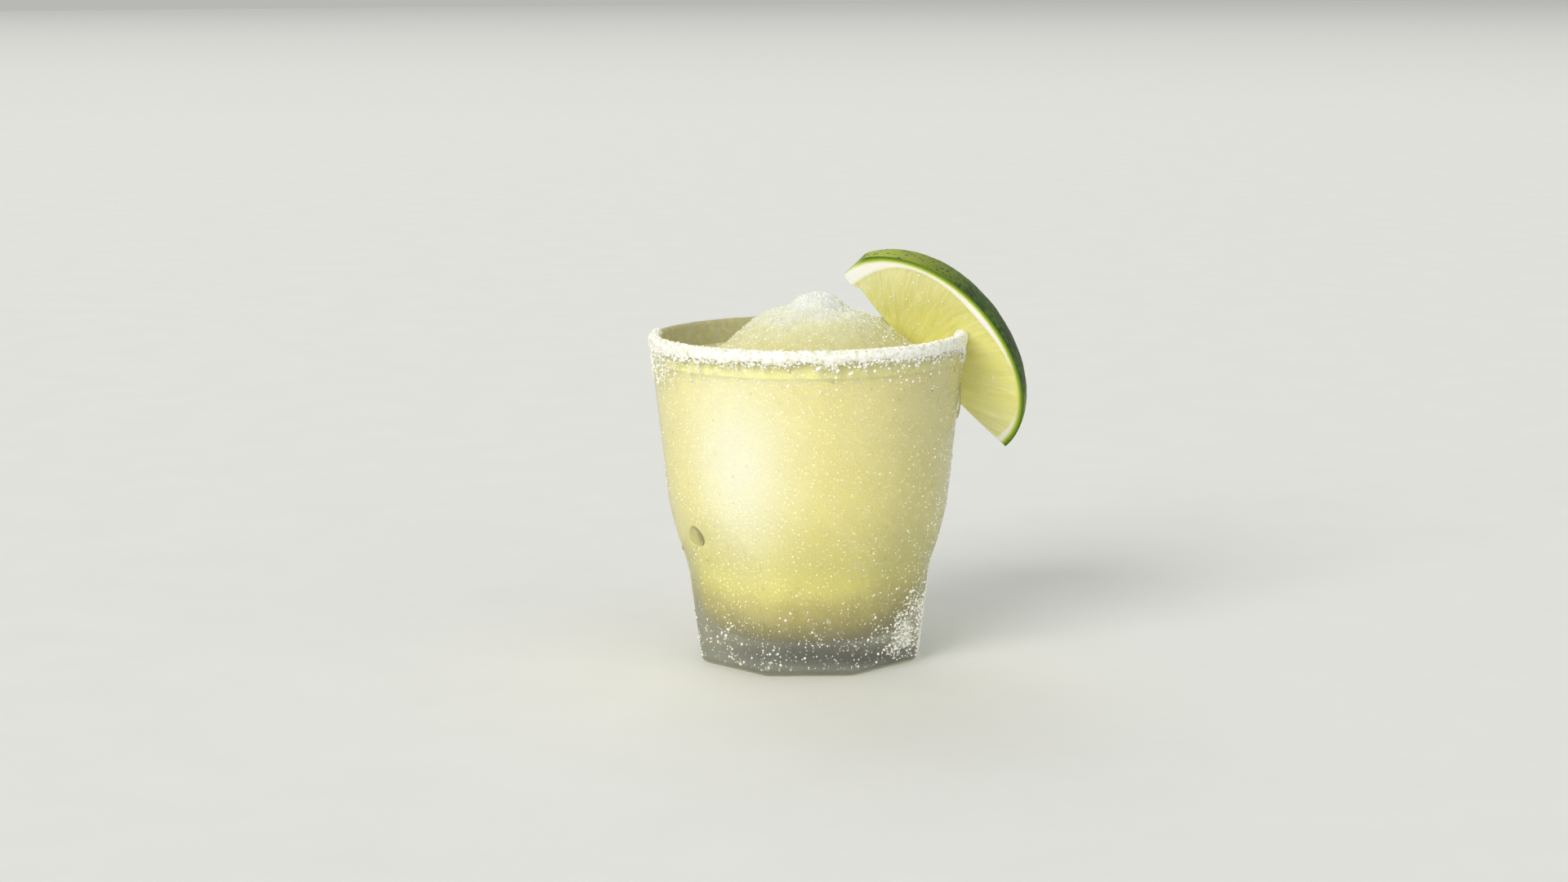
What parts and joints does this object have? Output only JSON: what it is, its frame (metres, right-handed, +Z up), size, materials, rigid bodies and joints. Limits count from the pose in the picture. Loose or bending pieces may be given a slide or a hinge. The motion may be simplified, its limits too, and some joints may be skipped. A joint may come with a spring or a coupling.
{
  "type": "frozen margarita",
  "caption": "Frozen lime drink mounded above the rim of a frosted rocks glass with flat panels, with a salted rim and a slit lime wedge hung on it.",
  "frame": {"origin": "centre of the glass's foot, on the surface that it stands on", "axes": "+Z up along the glass's axis; the lime wedge hangs at +X; -Y is the front, where a flat panel faces"},
  "size_m": [0.1083, 0.0899, 0.115],
  "materials": {
    "glass": "frosted by condensation",
    "slush": "icy, semi-matt",
    "salt": "coarse crystals",
    "lime": "wet flesh, waxy rind"
  },
  "bodies": {
    "root": {"glass": "glass", "slush": "slush", "salt_crust": "salt", "lime_wedge": "lime"}
  },
  "joints": []
}
